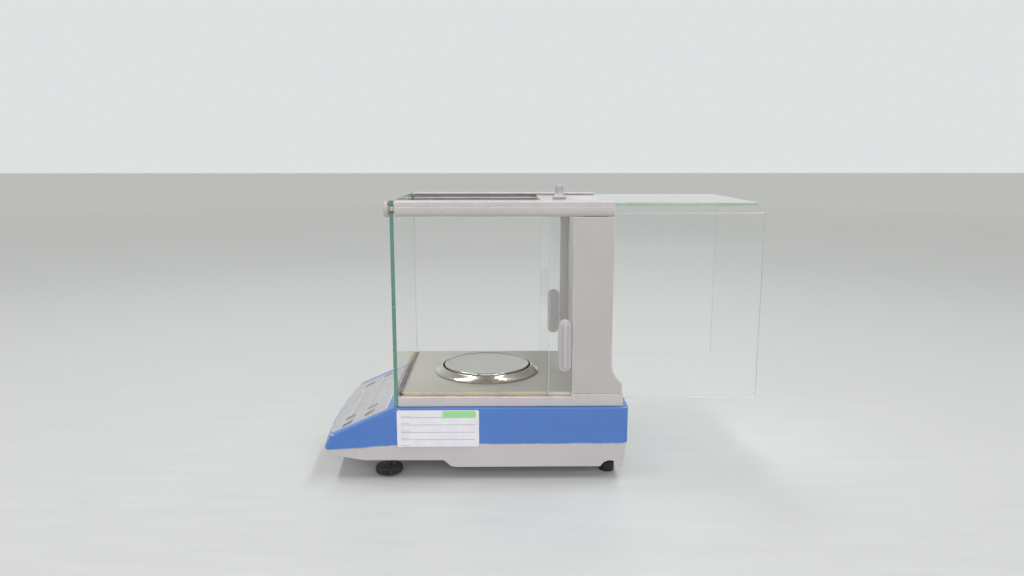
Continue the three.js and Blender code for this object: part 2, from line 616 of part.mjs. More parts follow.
function addElectronics() {
  const board = box([-90, -34], [-14, 108], [28, 29.6]);
  const chips = [
    [-80, 0, 18, 22, 3], [-52, 4, 14, 14, 2.5], [-80, 44, 24, 30, 9], [-50, 40, 10, 26, 4],
    [-76, 88, 30, 16, 12],
  ].map(([x, y, w, d, h]) => box([x - 4, x - 4 + w], [y, y + d], [29, 29.6 + h]));
  piece("main_board", join(board, ...chips), "board");

  const { x, z, r } = DC_INLET;
  const body = box([x - 7, x + 7], [148, REAR_Y - WALL - GAP], [z - 6.5, z + 6.5]);
  const barrel = alongY(cylinder(r, [158, REAR_Y + 1.2])).translate(x, 0, z);
  const bore = alongY(cylinder(3.3, [154, 170], 16)).translate(x, 0, z);
  const pin = alongY(cylinder(1, [152, REAR_Y - 0.5], 10)).translate(x, 0, z);
  piece("dc_inlet", join(cut(join(body, barrel), bore), pin), "rubber");

  const shell = outline([[-12.5, 5.4], [12.5, 5.4], [10.8, -5.4], [-10.8, -5.4]]);
  const hollow = outline([[-11.6, 4.6], [11.6, 4.6], [10.1, -4.6], [-10.1, -4.6]]);
  const back = box([-15.5, 15.5], [150, REAR_Y - WALL - GAP], [-7, 7]);
  const socket = cut(join(back, prismY(shell, [158, REAR_Y + 3])), prismY(hollow, [REAR_Y - 2.5, 180]));
  piece("serial_connector", socket, "steel", balance, [SERIAL.x, 0, SERIAL.z]);
}

// ---------------------------------------------------------------- small visible pieces
function addTrim() {
  const holder = [[0, 96.8], [10, 96.8], [10, 104.2], [9.5, 104.8], [7.6, 104.8], [7.6, 99.3], [0, 99.3]];
  piece("level_holder", turned(holder, 24), "rubber", balance, [0, 140, 0]);
  const vial = [[0, 99.6], [7.3, 99.6], [7.3, 104], [6, 105], [0, 105.4]];
  piece("level_vial", turned(vial, 24), "fluid", balance, [0, 140, 0]);
  const label = prismZ(roundedRect(44.4, 20.9, 2.5), [0, 0.2], 4).applyMatrix4(
    new THREE.Matrix4().makeBasis(
      new THREE.Vector3(0, 1, 0), new THREE.Vector3(0, 0, 1), new THREE.Vector3(1, 0, 0)));
  piece("service_label", label, "paper", balance, [HALF_WIDTH + GAP, -40.4, 59.4]);
}

piece("lower_housing", lowerHousing(), "pale");
piece("upper_housing", upperHousing(), "blue");
addKeypad();
piece("shield_base", shieldBase(), "pale");
piece("floor_plate", floorPlate(), "paint");
addPan();
addShield();
addUnderside();
addCell();
addElectronics();
addTrim();

export default balance;
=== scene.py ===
import json
import math

import bmesh
import bpy
from mathutils import Matrix, Vector
from mathutils.geometry import intersect_point_line


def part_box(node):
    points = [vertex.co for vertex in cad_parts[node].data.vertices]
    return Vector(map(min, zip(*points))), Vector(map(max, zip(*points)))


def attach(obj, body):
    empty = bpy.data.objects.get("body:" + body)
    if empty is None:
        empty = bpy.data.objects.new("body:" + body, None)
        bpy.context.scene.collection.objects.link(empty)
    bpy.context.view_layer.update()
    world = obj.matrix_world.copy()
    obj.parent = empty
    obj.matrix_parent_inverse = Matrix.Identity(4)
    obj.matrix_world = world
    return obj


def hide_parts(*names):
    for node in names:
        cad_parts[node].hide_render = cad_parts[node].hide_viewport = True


# A laboratory balance with a glass draft shield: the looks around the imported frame. Metres, +Z up.

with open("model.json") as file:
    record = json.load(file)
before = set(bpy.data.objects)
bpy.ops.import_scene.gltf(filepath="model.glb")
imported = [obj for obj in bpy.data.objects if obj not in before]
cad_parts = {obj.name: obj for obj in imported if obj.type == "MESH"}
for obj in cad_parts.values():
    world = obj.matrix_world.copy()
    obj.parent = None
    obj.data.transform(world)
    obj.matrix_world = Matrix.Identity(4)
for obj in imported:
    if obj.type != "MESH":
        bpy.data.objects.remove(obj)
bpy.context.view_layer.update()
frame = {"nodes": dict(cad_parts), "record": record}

MM = 0.001
RECORD = frame["record"]
NODES = frame["nodes"]
BODY_OF = {n: body for body, nodes in RECORD["behaviour"]["bodies"].items() for n in nodes}
SLOT_OF = {row["node"]: row["material_slot"] for row in RECORD["subparts"]}
SIDES = ("right", "left")
ACROSS, REARWARD, UP = (1, 0, 0), (0, 1, 0), (0, 0, 1)

SLOPE = math.radians(23.7)  # of the keypad
SLOPE_TOP = Vector((0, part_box("keypad_panel")[1].y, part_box("keypad_panel")[1].z))
UP_SLOPE = Vector((0, math.cos(SLOPE), math.sin(SLOPE)))


# ---------------------------------------------------------------- shader nodes
def srgb(red, green, blue):
    """Linear colour from display values of 0 to 255."""
    def linear(value):
        share = value / 255
        return share / 12.92 if share <= 0.04045 else ((share + 0.055) / 1.055) ** 2.4
    return (linear(red), linear(green), linear(blue), 1.0)


class Shader:
    """A material under construction: short calls that add and join its nodes."""

    def __init__(self, name):
        self.material = bpy.data.materials.new(name)
        self.material.use_nodes = True
        self.tree = self.material.node_tree
        self.bsdf = self.tree.nodes["Principled BSDF"]
        self.output = self.tree.nodes["Material Output"]
        self.place = self.tree.nodes.new("ShaderNodeTexCoord").outputs["Object"]

    def feed(self, socket, value):
        """Joins a socket to another one, or gives it a plain value."""
        if isinstance(value, bpy.types.NodeSocket):
            self.tree.links.new(value, socket)
        elif value is not None:
            socket.default_value = value

    def put(self, **values):
        """Sets or joins sockets of the surface shader, such as roughness or coat_weight."""
        for name, value in values.items():
            title = name.replace("_", " ").title().replace("Ior", "IOR")
            self.feed(self.bsdf.inputs[title], value)

    def maths(self, operation, first, second=None, third=None):
        node = self.tree.nodes.new("ShaderNodeMath")
        node.operation = operation
        for socket, value in zip(node.inputs, (first, second, third)):
            self.feed(socket, value)
        return node.outputs[0]

    def vector(self, operation, first, second=None, output="Vector"):
        node = self.tree.nodes.new("ShaderNodeVectorMath")
        node.operation = operation
        self.feed(node.inputs[0], first)
        self.feed(node.inputs[1], second)
        return node.outputs[output]

    def along(self, direction, origin=(0, 0, 0)):
        """Distance along a direction from an origin."""
        offset = self.vector("SUBTRACT", self.place, tuple(origin))
        return self.vector("DOT_PRODUCT", offset, tuple(direction), "Value")

    def stretched(self, scale):
        """The place, scaled by its own factor along each axis."""
        return self.vector("MULTIPLY", self.place, tuple(scale))

    def noise(self, scale, detail=3.0, roughness=0.55, place=None, distortion=0.0):
        node = self.tree.nodes.new("ShaderNodeTexNoise")
        node.inputs["Scale"].default_value = scale
        node.inputs["Detail"].default_value = detail
        node.inputs["Roughness"].default_value = roughness
        node.inputs["Distortion"].default_value = distortion
        self.feed(node.inputs["Vector"], place if place is not None else self.place)
        return node.outputs["Fac"]

    def cell_borders(self, scale, place):
        """Distance to the nearest border between random cells."""
        node = self.tree.nodes.new("ShaderNodeTexVoronoi")
        node.feature = "DISTANCE_TO_EDGE"
        node.inputs["Scale"].default_value = scale
        self.feed(node.inputs["Vector"], place)
        return node.outputs["Distance"]

    def ramp(self, value, low, high, low_to=0.0, high_to=1.0):
        """Maps low..high to low_to..high_to and holds the end values beyond."""
        node = self.tree.nodes.new("ShaderNodeMapRange")
        self.feed(node.inputs["Value"], value)
        node.inputs["From Min"].default_value = low
        node.inputs["From Max"].default_value = high
        node.inputs["To Min"].default_value = low_to
        node.inputs["To Max"].default_value = high_to
        return node.outputs["Result"]

    def mix(self, share, first, second):
        node = self.tree.nodes.new("ShaderNodeMix")
        node.data_type = "RGBA"
        self.feed(node.inputs["Factor"], share)
        self.feed(node.inputs["A"], first)
        self.feed(node.inputs["B"], second)
        return node.outputs["Result"]

    def bump(self, height, strength, distance, under=None):
        node = self.tree.nodes.new("ShaderNodeBump")
        node.inputs["Strength"].default_value = strength
        node.inputs["Distance"].default_value = distance
        self.feed(node.inputs["Height"], height)
        self.feed(node.inputs["Normal"], under)
        return node.outputs["Normal"]

    def spin(self, value):
        """A place that varies only with the given value."""
        node = self.tree.nodes.new("ShaderNodeCombineXYZ")
        self.feed(node.inputs["X"], value)
        return node.outputs["Vector"]

    def facing(self, direction):
        """Share of the surface's direction that points along a given one, -1 to 1."""
        geometry = self.tree.nodes.new("ShaderNodeNewGeometry")
        return self.vector("DOT_PRODUCT", geometry.outputs["Normal"], direction, "Value")


def shade(colour, factor):
    """A lighter or darker copy of a colour."""
    return tuple(min(1.0, c * factor) for c in colour[:3]) + (1.0,)


FRONT_EDGE_BROWN = srgb(92, 78, 58)  # dark brown where the chamber's front pane meets the floor
SETTLED_DUST = srgb(176, 172, 166)


# ---------------------------------------------------------------- materials
def moulding(name, colour, roughness=0.42, grain=0.25, mottle=0.05, dust=0.10, coat=0.0, peel=0.0,
             glint_and_wear=None, under=0.0, front=None):
    """Moulded plastic or paint: fine surface grain, faint blotches, handling marks and dust on top.

    The colour for edge patches gives pale spots, painted glints with wear; under is how much painted shade
    darkens the downward faces; and front is the place ahead of which upward faces turn dark brown."""
    s = Shader(name)
    blotch = s.noise(14, 4)
    fine = s.noise(160, 3)
    low, high = shade(colour, 1 - mottle), shade(colour, 1 + mottle)
    base = s.mix(s.ramp(blotch, 0.3, 0.7), low, high)
    base = s.mix(s.ramp(fine, 0.35, 0.75, 0.0, 0.35), base, shade(colour, 0.93))
    scuffs = s.ramp(s.noise(260, 2, place=s.stretched((0.35, 1.0, 2.5)), distortion=0.6), 0.63, 0.74)
    scuffs = s.maths("MULTIPLY", scuffs, s.ramp(s.noise(22, 2), 0.5, 0.62))
    base = s.mix(s.maths("MULTIPLY", scuffs, 0.22), base, shade(colour, 1.25))
    settled = s.maths("MULTIPLY", s.ramp(s.facing(UP), 0.6, 1.0), s.ramp(s.noise(45, 5), 0.35, 0.8))
    base = s.mix(s.maths("MULTIPLY", settled, dust), base, SETTLED_DUST)
    # pale patches on the edges: painted glints and highlight, with wear
    if glint_and_wear:
        patches = s.ramp(s.noise(55, 3, distortion=0.4), 0.42, 0.54)
        broken = s.ramp(s.noise(420, 2), 0.35, 0.55, 0.4, 1.0)
        base = s.mix(s.maths("MULTIPLY", patches, broken), base, glint_and_wear)
    # painted shade: downward faces are darkened
    if under:
        base = s.mix(s.ramp(s.facing(UP), 0.1, -0.6, 0.0, under), base, shade(colour, 0.55))
    # dark brown on upward faces ahead of the front
    if front is not None:
        ahead = s.ramp(s.along(REARWARD, (0, front, 0)), 0.3 * MM, -0.2 * MM)
        brown_ahead = s.maths("MULTIPLY", ahead, s.ramp(s.noise(110, 4), 0.2, 0.5, 0.5, 1.0))
        base = s.mix(s.maths("MULTIPLY", brown_ahead, s.ramp(s.facing(UP), 0.5, 0.9)), base, FRONT_EDGE_BROWN)
    rough = s.maths("ADD", s.ramp(blotch, 0.2, 0.8, roughness - 0.05, roughness + 0.06),
                    s.maths("MULTIPLY", scuffs, 0.12))
    pits = s.bump(s.noise(2600, 2, 0.6), grain, 0.00012)
    dimples = s.bump(s.noise(620, 2, 0.5), peel, 0.0008, pits)
    wave = s.bump(s.noise(32, 2), 0.12, 0.0006, dimples)
    s.put(base_color=base, roughness=rough, normal=wave, coat_weight=coat, coat_roughness=0.12)
    return s.material


def worn_and_highlighted(title, colour, edge, glint_and_wear, roughness, **extra):
    """A finish for the faces of a piece and a lighter one for its edges, with pale patches: painted
    highlight and wear.
    """
    return [moulding(title, colour, roughness, **extra),
            moulding(title + ", rubbed edge", edge, roughness - 0.05, glint_and_wear=glint_and_wear)]


def floor_finish(name, front):
    """Painted sheet, dark brown along its front fold; its side folds are a lighter tan, painted light that
    keeps them out of the groove's shade.
    """
    s = Shader(name)
    blotch = s.noise(16, 5)
    base = s.mix(s.ramp(blotch, 0.3, 0.7), srgb(150, 148, 140), srgb(159, 157, 149))
    specks = s.ramp(s.noise(620, 3), 0.62, 0.72, 0.0, 0.35)
    base = s.mix(specks, base, srgb(122, 118, 108))
    scratches = s.ramp(s.noise(150, 2, place=s.stretched((3.0, 0.4, 1.0)), distortion=0.5), 0.66, 0.72)
    base = s.mix(s.maths("MULTIPLY", scratches, 0.25), base, srgb(186, 184, 176))
    # painted light: the side folds get a lighter tan so that they don't read as shaded in their groove
    folded = s.ramp(s.maths("ABSOLUTE", s.facing(ACROSS)), 0.5, 0.9)
    painted_light_tan = s.mix(s.ramp(s.noise(50, 3), 0.4, 0.6), srgb(204, 188, 166), srgb(190, 182, 174))
    base = s.mix(folded, base, painted_light_tan)
    # dark brown near the front edge
    nearness = s.ramp(s.along(REARWARD, (0, front, 0)), 2.8 * MM, 1.2 * MM)
    brown_near_front = s.maths("MULTIPLY", nearness, s.ramp(s.noise(110, 4), 0.25, 0.5, 0.4, 0.95))
    base = s.mix(brown_near_front, base, FRONT_EDGE_BROWN)
    s.put(base_color=base, roughness=s.ramp(blotch, 0.2, 0.8, 0.34, 0.46), coat_weight=0.1)
    s.put(normal=s.bump(s.noise(2200, 2), 0.3, 0.0001, s.bump(s.noise(24, 2), 0.1, 0.0006)))
    return s.material


def polished(name, colour, roughness, centre=None, dents=0.0):
    """Bright metal with fine turning marks about a centre, or long brush marks along Y."""
    s = Shader(name)
    wear = None
    if centre is None:
        marks = s.noise(900, 2, place=s.stretched((1.0, 0.02, 1.0)))
    else:
        flat = s.vector("MULTIPLY", s.vector("SUBTRACT", s.place, tuple(centre)), (1, 1, 0))
        radius = s.vector("LENGTH", flat, None, "Value")
        marks = s.noise(1.0, 2, place=s.vector("MULTIPLY", s.spin(radius), (2600, 0, 0)))
        arcs = s.ramp(s.noise(1.0, 3, place=s.vector("MULTIPLY", s.spin(radius), (420, 0, 0))), 0.5, 0.62)
        wear = s.maths("MULTIPLY", arcs, s.ramp(s.noise(26, 3, distortion=0.5), 0.42, 0.62, 0.0, 0.5))
    smears = s.noise(38, 5, distortion=0.8)
    base = s.mix(s.ramp(smears, 0.35, 0.75), shade(colour, 0.94), shade(colour, 1.04))
    base = s.mix(s.ramp(s.noise(240, 2), 0.68, 0.8, 0.0, 0.25), base, shade(colour, 0.7))
    if wear is not None:
        base = s.mix(wear, base, shade(colour, 0.72))
    rough = s.ramp(smears, 0.3, 0.75, roughness * 0.75, roughness * 1.5)
    rough = s.maths("ADD", rough, s.ramp(marks, 0.3, 0.7, 0.0, roughness * 0.4))
    dented = s.bump(s.noise(130, 2), dents, 0.0004)
    s.put(base_color=base, metallic=1.0, roughness=rough, normal=s.bump(marks, 0.35, 0.00002, dented))
    return s.material


def rubber(name, colour=(0.012, 0.012, 0.012, 1), roughness=0.62, specks=0.0):
    """Black rubber or plastic, greyed where it wears, with light specks of dirt."""
    s = Shader(name)
    greyed = s.ramp(s.noise(90, 5), 0.5, 0.75, 0.0, 0.5)
    base = s.mix(greyed, colour, shade(colour, 3.2))
    base = s.mix(s.ramp(s.facing(UP), 0.3, 1.0, 0.0, 0.07), base, srgb(150, 146, 140))
    base = s.mix(s.ramp(s.noise(480, 2), 0.54, 0.66, 0.0, specks), base, srgb(120, 116, 106))
    s.put(base_color=base, roughness=s.ramp(s.noise(60), 0.3, 0.7, roughness - 0.1, roughness + 0.12))
    s.put(normal=s.bump(s.noise(1400, 3), 0.35, 0.00015))
    return s.material


def pane_glass(name, tint, haze=0.012):
    """Clear glass that lets lamps through, with faint wiping smears."""
    s = Shader(name)
    smear = s.ramp(s.noise(26, 5, place=s.stretched((1.0, 0.5, 1.6)), distortion=0.7), 0.45, 0.8)
    s.put(base_color=tint, transmission_weight=1.0, ior=1.5)
    s.put(roughness=s.maths("MULTIPLY", smear, haze))
    s.put(normal=s.bump(s.noise(9, 2), 0.05, 0.0004))
    path = s.tree.nodes.new("ShaderNodeLightPath")
    clear = s.tree.nodes.new("ShaderNodeBsdfTransparent")
    clear.inputs["Color"].default_value = tint
    mixed = s.tree.nodes.new("ShaderNodeMixShader")
    s.feed(mixed.inputs["Fac"], path.outputs["Is Shadow Ray"])
    s.feed(mixed.inputs[1], s.bsdf.outputs["BSDF"])
    s.feed(mixed.inputs[2], clear.outputs["BSDF"])
    s.feed(s.output.inputs["Surface"], mixed.outputs["Shader"])
    return s.material


def glass_edge(name, deep, light):
    """The green look of float glass where its long path of colour shows, ground and slightly chipped."""
    s = Shader(name)
    depth = s.ramp(s.noise(40, 3, place=s.stretched((1.0, 1.0, 0.2))), 0.3, 0.7)
    base = s.mix(depth, deep, light)
    chips = s.ramp(s.noise(700, 2), 0.68, 0.75)
    base = s.mix(s.maths("MULTIPLY", chips, 0.5), base, srgb(214, 232, 226))
    s.put(base_color=base, roughness=s.ramp(s.noise(300), 0.3, 0.7, 0.12, 0.3))
    s.put(transmission_weight=0.25, ior=1.5, normal=s.bump(s.noise(900, 2), 0.2, 0.00008))
    return s.material


def window_film(name):
    """Clear hard-coated window over the display."""
    s = Shader(name)
    smear = s.ramp(s.noise(60, 4), 0.4, 0.8)
    s.put(base_color=s.mix(smear, srgb(180, 179, 180), srgb(187, 186, 187)), alpha=0.82)
    s.put(roughness=s.ramp(smear, 0.0, 1.0, 0.16, 0.3), coat_weight=0.3, coat_roughness=0.1)
    s.put(normal=s.bump(s.noise(1900, 2), 0.12, 0.00005))
    return s.material


def keypad_film(name, marks):
    """Printed film with dark slanted bars on the keys and thin lines between them."""
    s = Shader(name)
    colour = srgb(175, 174, 178)
    base = s.mix(s.ramp(s.noise(18, 4), 0.3, 0.7), shade(colour, 0.96), shade(colour, 1.03))
    across = s.along(ACROSS)
    up = s.along(UP_SLOPE, SLOPE_TOP)
    ink = None
    for x, v, half_width, half_length, slant in marks:
        lean = s.maths("MULTIPLY_ADD", s.maths("SUBTRACT", up, v), slant, x)
        beside = s.maths("ABSOLUTE", s.maths("SUBTRACT", across, lean))
        within = s.maths("ABSOLUTE", s.maths("SUBTRACT", up, v))
        bar = s.maths("MULTIPLY", s.ramp(beside, half_width, half_width * 0.8),
                      s.ramp(within, half_length, half_length * 0.93))
        ink = bar if ink is None else s.maths("MAXIMUM", ink, bar)
    faded = s.ramp(s.noise(420, 3), 0.3, 0.75, 0.62, 1.0)
    base = s.mix(s.maths("MULTIPLY", ink, faded), base, srgb(84, 80, 83))
    touched = s.ramp(s.noise(55, 4, distortion=0.5), 0.55, 0.75, 0.0, 0.16)
    base = s.mix(touched, base, srgb(160, 156, 150))
    s.put(base_color=base, roughness=s.ramp(s.noise(80, 3), 0.3, 0.7, 0.3, 0.44))
    s.put(normal=s.bump(s.noise(2400, 2), 0.2, 0.00008))
    return s.material


def circuit(name):
    """Green solder mask over copper tracks."""
    s = Shader(name)
    tracks = s.ramp(s.cell_borders(260, s.stretched((1.0, 0.35, 1.0))), 0.02, 0.05, 1.0, 0.0)
    base = s.mix(s.ramp(s.noise(40), 0.3, 0.7), srgb(28, 92, 58), srgb(38, 112, 70))
    base = s.mix(s.maths("MULTIPLY", tracks, 0.6), base, srgb(70, 148, 96))
    s.put(base_color=base, roughness=s.ramp(tracks, 0.0, 1.0, 0.4, 0.28), coat_weight=0.3)
    s.put(normal=s.bump(tracks, 0.3, 0.00006))
    return s.material


def winding(name):
    """Enamelled wire laid turn on turn."""
    s = Shader(name)
    wire = 0.35 * MM
    turns = s.maths("ABSOLUTE", s.maths("SINE", s.maths("MULTIPLY", s.along(UP), math.pi / wire)))
    # painted shade between the turns and painted highlight on their crowns
    base = s.mix(turns, srgb(112, 58, 26), srgb(202, 124, 66))
    s.put(base_color=base, metallic=0.9, roughness=s.ramp(s.noise(90), 0.3, 0.7, 0.24, 0.4))
    s.put(normal=s.bump(turns, 0.7, 0.0002))
    return s.material


def elastomer(name):
    """Yellowed translucent rubber."""
    s = Shader(name)
    age = s.ramp(s.noise(160, 4), 0.3, 0.75)
    s.put(base_color=s.mix(age, srgb(214, 210, 184), srgb(196, 186, 148)))
    s.put(roughness=s.ramp(age, 0.0, 1.0, 0.35, 0.55), transmission_weight=0.2, subsurface_weight=0.25)
    s.put(subsurface_radius=(0.004, 0.003, 0.001), normal=s.bump(s.noise(1200), 0.25, 0.0001))
    return s.material


def sticker(name, low, high):
    """White paper label with ruled rows, a short bar above each rule and a green patch; no lettering."""
    s = Shader(name)
    rows = 5
    width = high.y - low.y
    row = s.maths("DIVIDE", s.along(UP, (0, 0, low.z)), (high.z - low.z) / rows)
    across = s.along(REARWARD, (0, low.y, 0))
    off_rule = s.maths("ABSOLUTE", s.maths("SUBTRACT", row, s.maths("ROUND", row)))
    inner = s.maths("MULTIPLY", s.ramp(across, 0.045 * width, 0.055 * width),
                    s.ramp(across, 0.955 * width, 0.945 * width))
    lines = s.maths("MULTIPLY", s.maths("MULTIPLY", s.ramp(off_rule, 0.045, 0.02), inner), 0.8)
    patch = s.maths("MULTIPLY", s.ramp(across, 0.555 * width, 0.56 * width),
                    s.ramp(across, 0.965 * width, 0.96 * width))
    top_row = s.maths("MULTIPLY", s.ramp(row, rows - 1.1, rows - 1.05), s.ramp(row, rows - 0.1, rows - 0.14))
    patch = s.maths("MULTIPLY", patch, top_row)
    off_bar = s.maths("ABSOLUTE", s.maths("SUBTRACT", s.maths("FRACT", row), 0.2))
    field = s.maths("MULTIPLY", inner, s.ramp(across, 0.16 * width, 0.15 * width))
    field = s.maths("MULTIPLY", field, s.ramp(off_bar, 0.05, 0.03))
    paper = s.mix(s.ramp(s.noise(70, 5), 0.3, 0.75), srgb(226, 224, 232), srgb(236, 235, 240))
    base = s.mix(lines, paper, srgb(140, 134, 156))
    base = s.mix(s.maths("MULTIPLY", field, 0.45), base, srgb(120, 116, 130))
    base = s.mix(s.maths("MULTIPLY", patch, 0.92), base, srgb(150, 216, 146))
    rub = s.maths("MULTIPLY", s.ramp(s.noise(300, 4, distortion=0.7), 0.58, 0.72), 0.16)
    base = s.mix(rub, base, srgb(176, 172, 170))
    s.put(base_color=base, roughness=s.ramp(s.noise(120), 0.3, 0.7, 0.42, 0.58))
    s.put(normal=s.bump(s.noise(900, 3), 0.2, 0.00008, s.bump(s.noise(28, 2), 0.3, 0.0004)))
    return s.material


def spirit(name):
    """Yellow-green liquid of a level vial."""
    s = Shader(name)
    cloud = s.noise(300, 2)
    s.put(base_color=s.mix(cloud, srgb(214, 226, 96), srgb(196, 212, 74)), transmission_weight=0.6)
    s.put(ior=1.36, roughness=s.ramp(cloud, 0.3, 0.7, 0.02, 0.08), coat_weight=0.5)
    return s.material


# ---------------------------------------------------------------- meshes
def dressed(obj, materials):
    """Gives a mesh its materials in order."""
    obj.data.materials.clear()
    for material in materials:
        obj.data.materials.append(material)


def added(name, mesh, materials, node, slot=None):
    """A piece that rides with a CAD node."""
    obj = bpy.data.objects.new(name, mesh)
    bpy.context.scene.collection.objects.link(obj)
    dressed(obj, materials)
    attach(obj, BODY_OF[node])
    slot or SLOT_OF[node]
    return obj


def placed(name, mesh, materials, node):
    """A piece that stands for a CAD node and rides on the same body."""
    obj = added(name, mesh, materials, node)
    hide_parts(node)
    return obj


ROOM = 2.4  # room beside an edge that a rounding needs, in widths
SHARP = math.radians(28)  # the angle from which an edge is rounded
FLAT = math.radians(0.8)  # the angle below which neighbouring faces are joined
SPECK = 0.02 * MM  # points closer than this are one
FOLLOWS = 0.9  # cosine with an edge above which a neighbour continues it
BESIDE = 0.5  # cosine with an edge below which a direction leads away from its side


def gap_beside(edge, others, gap):
    """Distance to the nearest sharp edge that runs beside this one without touching it, up to gap."""
    first, last = edge.verts[0].co, edge.verts[1].co
    centre, along = (first + last) / 2, (last - first).normalized()
    for other in others:
        start, end = other.verts[0].co, other.verts[1].co
        reach = gap + ((last - first).length + (end - start).length) / 2
        if (centre - (start + end) / 2).length > reach or set(edge.verts) & set(other.verts):
            continue
        for point in (first, centre, last):
            part = intersect_point_line(point, start, end)[1]
            way = start.lerp(end, min(max(part, 0), 1)) - point
            if abs(way.normalized().dot(along)) < BESIDE:
                gap = min(gap, way.length)
    return gap


def side_lengths(edge):
    """Lengths of the edges that leave this one's ends sideways."""
    along = (edge.verts[1].co - edge.verts[0].co).normalized()
    for vert in edge.verts:
        for other in vert.link_edges:
            way = other.other_vert(vert).co - vert.co
            if other is not edge and abs(way.normalized().dot(along)) < FOLLOWS:
                yield way.length


def mark_sharp(work, width):
    """Weights each sharp outer edge for rounding, less where there is no room for the full width."""
    weights = work.edges.layers.float.new("bevel_weight_edge")
    sharp = [edge for edge in work.edges if edge.is_manifold and edge.calc_face_angle(0) >= SHARP]
    for edge in sharp:
        if edge.is_convex:
            room = min([width * ROOM, *side_lengths(edge)])
            edge[weights] = gap_beside(edge, sharp, room) / (width * ROOM)


def soften(obj, width, segments, edge_material):
    """Rounds the weighted edges and evens out the shading; edge_material is a place in the material list."""
    bevel = obj.modifiers.new("Softened edges", "BEVEL")
    bevel.width = width
    bevel.segments = segments
    bevel.limit_method = "WEIGHT"
    bevel.use_clamp_overlap = False
    bevel.miter_outer = "MITER_ARC"
    bevel.material = edge_material
    weighted = obj.modifiers.new("Even shading", "WEIGHTED_NORMAL")
    weighted.keep_sharp = False
    weighted.weight = 80


def refined(node, materials, width, segments=2):
    """The CAD node's own mesh with its flats merged and its edges rounded over.

    A second material, if there is one, goes on the rounded edges."""
    mesh = NODES[node].data.copy()
    mesh.name = node + "_look"
    work = bmesh.new()
    work.from_mesh(mesh)
    bmesh.ops.remove_doubles(work, verts=work.verts, dist=SPECK)
    bmesh.ops.dissolve_degenerate(work, dist=SPECK, edges=work.edges)
    bmesh.ops.dissolve_limit(work, angle_limit=FLAT, verts=work.verts, edges=work.edges,
                             use_dissolve_boundaries=False)
    mark_sharp(work, width)
    for face in work.faces:
        face.smooth = True
    work.to_mesh(mesh)
    work.free()
    obj = placed(node + "_shell", mesh, materials, node)
    soften(obj, width, segments, 1 if len(materials) > 1 else -1)
    return obj


def rounded_profile(points, radius, steps=4):
    """A (radius, height) outline with each inner corner turned into a small arc."""
    path = [Vector(point) for point in points]
    result = [path[0]]
    for before, corner, after in zip(path, path[1:], path[2:]):
        into, out = before - corner, after - corner
        reach = min(radius, into.length * 0.45, out.length * 0.45)
        start, end = corner + into.normalized() * reach, corner + out.normalized() * reach
        for share in evenly(0, 1, steps):
            result.append(start * (1 - share) ** 2 + corner * 2 * share * (1 - share) + end * share ** 2)
    result.append(path[-1])
    return result


AXIS = 0.0001 * MM  # points nearer than this to the axis lie on it


def lathe_mesh(name, profile, segments, wobble=None):
    """A turned mesh about Z from (radius, height) points in metres; closed where it meets the axis.

    wobble gives an addition to the radius from the row's number and the turn."""
    work = bmesh.new()
    rings = []
    for row, (radius, height) in enumerate(profile):
        if radius < AXIS:
            rings.append([work.verts.new((0, 0, height))])
            continue
        ring = []
        for i in range(segments):
            turn = math.tau * i / segments
            r = radius + (wobble(row, turn) if wobble else 0)
            ring.append(work.verts.new((r * math.cos(turn), r * math.sin(turn), height)))
        rings.append(ring)
    for lower, upper in zip(rings, rings[1:]):
        for i in range(segments):
            j = (i + 1) % segments
            near = [lower[i % len(lower)], lower[j % len(lower)]]
            far = [upper[j % len(upper)], upper[i % len(upper)]]
            unique = list(dict.fromkeys(near + far))
            if len(unique) > 2:
                work.faces.new(unique).smooth = True
    bmesh.ops.remove_doubles(work, verts=work.verts, dist=5 * AXIS)
    return finished(work, name)


def shifted(mesh, x, y, z=0.0, lying=False):
    """Moves a turned mesh to its place; a lying one is first tipped so that it turns about Y."""
    tip = Matrix.Rotation(-math.pi / 2, 4, "X") if lying else Matrix.Identity(4)
    mesh.transform(Matrix.Translation((x, y, z)) @ tip)


def closed_bands(work, rings):
    """Joins each ring of points to the next with smooth four-sided faces."""
    for lower, upper in zip(rings, rings[1:]):
        for i in range(len(lower)):
            j = (i + 1) % len(lower)
            work.faces.new((lower[i], lower[j], upper[j], upper[i])).smooth = True


def finished(work, name):
    """The mesh of a closed shape under construction, its faces turned outwards."""
    bmesh.ops.recalc_face_normals(work, faces=work.faces)
    mesh = bpy.data.meshes.new(name)
    work.to_mesh(mesh)
    work.free()
    return mesh


def evenly(start, end, steps):
    """Values from start to end in equal steps."""
    return [start + (end - start) * i / steps for i in range(steps + 1)]


def middle(node):
    """Centre of a CAD node's box."""
    low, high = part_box(node)
    return (low + high) / 2


# ---------------------------------------------------------------- finishes
# Slanted bars on the keys, in millimetres: sideways place and distance up the slope from the panel's rear
# edge. BAR_HALF is half their width and length, BAR_LEAN their sideways drift for each step upwards.
BAR_LEAN = -0.45
BAR_HALF = (5.4, 5.9)
BAR_PLACES = ((81.0, -48.7), (59.5, -48.8), (74.2, -23.2), (52.8, -22.7), (-67.0, -47.8), (-78.5, -23.7))
# Thin lines across the panel: sideways place, distance up the slope and half length.
LINE_HALF = 0.55
LINE_PLACES = ((-3.3, -50.3, 47.2), (-15.5, -26.3, 50.0))


def printed_marks():
    """Rows of place, distance up the slope, half width, half length and lean, in metres."""
    half_width, half_length = BAR_HALF
    bars = [(x * MM, v * MM, half_width * MM, half_length * MM, BAR_LEAN) for x, v in BAR_PLACES]
    return bars + [(x * MM, v * MM, half * MM, LINE_HALF * MM, 0.0) for x, v, half in LINE_PLACES]


